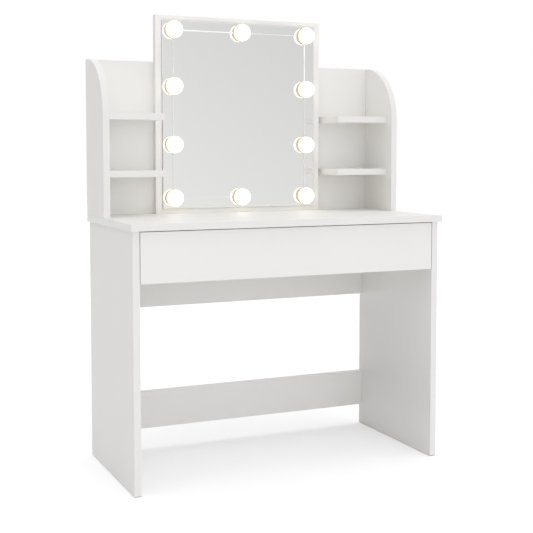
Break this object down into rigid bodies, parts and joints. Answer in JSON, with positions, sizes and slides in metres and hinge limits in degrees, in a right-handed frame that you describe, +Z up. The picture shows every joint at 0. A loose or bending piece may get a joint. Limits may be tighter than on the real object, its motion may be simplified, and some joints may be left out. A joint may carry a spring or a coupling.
{
  "type": "vanity table with mirror",
  "caption": "White vanity table with a full-width drawer, an open shelf hutch with rounded sides, and a tall mirror lit by round lamps.",
  "frame": {"origin": "on the floor, under the middle of the tabletop", "axes": "+X to the right as seen by the sitter facing the mirror, the drawer opens towards -Y, +Z up"},
  "size_m": [1, 0.47, 1.385],
  "materials": {
    "white_melamine": "satin white melamine on particleboard",
    "white_hardboard": "lacquered hardboard",
    "mirror": "silvered glass",
    "lamp_body": "satin tan moulding",
    "opal_globe": "opal diffuser",
    "led_board": "lacquered circuit board",
    "foam_pad": "closed-cell foam tape",
    "cable": "satin sheath",
    "zinc": "zinc plated",
    "beech": "bare beech",
    "runner_steel": "white powder coat",
    "nylon": "moulded nylon"
  },
  "bodies": {
    "cabinet": {"tabletop": "white_melamine", "leg_panel_left": "white_melamine", "leg_panel_right": "white_melamine", "upper_back_rail": "white_melamine", "lower_back_rail": "white_melamine", "hutch_side_left": "white_melamine", "hutch_side_right": "white_melamine", "hutch_back_panel": "white_melamine", "mirror_board": "white_melamine", "mirror_glass": "mirror", "shelf_left_lower": "white_melamine", "shelf_left_upper": "white_melamine", "shelf_right_lower": "white_melamine", "shelf_right_upper": "white_melamine", "lamp_base_1": "lamp_body", "lamp_base_2": "lamp_body", "lamp_base_3": "lamp_body", "lamp_base_4": "lamp_body", "lamp_base_5": "lamp_body", "lamp_base_6": "lamp_body", "lamp_base_7": "lamp_body", "lamp_base_8": "lamp_body", "lamp_base_9": "lamp_body", "lamp_base_10": "lamp_body", "lamp_globe_1": "opal_globe", "lamp_globe_2": "opal_globe", "lamp_globe_3": "opal_globe", "lamp_globe_4": "opal_globe", "lamp_globe_5": "opal_globe", "lamp_globe_6": "opal_globe", "lamp_globe_7": "opal_globe", "lamp_globe_8": "opal_globe", "lamp_globe_9": "opal_globe", "lamp_globe_10": "opal_globe", "lamp_led_boards": "led_board", "lamp_pads": "foam_pad", "lamp_wires": "cable", "cam_housings": "zinc", "cam_bolts": "zinc", "wood_dowels": "beech", "confirmat_screws": "zinc", "mirror_board_screws": "zinc", "cabinet_runner_left": "runner_steel", "cabinet_runner_right": "runner_steel", "cabinet_runner_screws": "zinc"},
    "drawer": {"drawer_front": "white_melamine", "drawer_side_left": "white_melamine", "drawer_side_right": "white_melamine", "drawer_back": "white_melamine", "drawer_bottom": "white_hardboard", "drawer_runner_left": "runner_steel", "drawer_runner_right": "runner_steel", "drawer_cams": "zinc", "drawer_cam_bolts": "zinc", "drawer_dowels": "beech", "drawer_screws": "zinc"},
    "cabinet_roller_left": {"cabinet_roller_left": "nylon"},
    "cabinet_roller_right": {"cabinet_roller_right": "nylon"},
    "drawer_roller_left": {"drawer_roller_left": "nylon"},
    "drawer_roller_right": {"drawer_roller_right": "nylon"}
  },
  "joints": [
    {"name": "drawer_slide", "type": "slide", "parent": "cabinet", "child": "drawer", "axis": [0, -1, 0], "range_m": [0, 0.29]},
    {"name": "cabinet_roller_left_spin", "type": "hinge", "parent": "cabinet", "child": "cabinet_roller_left", "pos_m": [-0.46575, -0.184, 0.618], "axis": [1, 0, 0], "range_deg": [0, 1583]},
    {"name": "cabinet_roller_right_spin", "type": "hinge", "parent": "cabinet", "child": "cabinet_roller_right", "pos_m": [0.46575, -0.184, 0.618], "axis": [1, 0, 0], "range_deg": [0, 1583]},
    {"name": "drawer_roller_left_spin", "type": "hinge", "parent": "drawer", "child": "drawer_roller_left", "pos_m": [-0.46575, 0.186, 0.618], "axis": [1, 0, 0], "range_deg": [0, 1583]},
    {"name": "drawer_roller_right_spin", "type": "hinge", "parent": "drawer", "child": "drawer_roller_right", "pos_m": [0.46575, 0.186, 0.618], "axis": [1, 0, 0], "range_deg": [0, 1583]}
  ],
  "couplings": [
    {"joint": "cabinet_roller_left_spin", "follows": "drawer_slide", "rad_per_m": 95.238},
    {"joint": "cabinet_roller_right_spin", "follows": "drawer_slide", "rad_per_m": 95.238},
    {"joint": "drawer_roller_left_spin", "follows": "drawer_slide", "rad_per_m": 95.238},
    {"joint": "drawer_roller_right_spin", "follows": "drawer_slide", "rad_per_m": 95.238}
  ]
}
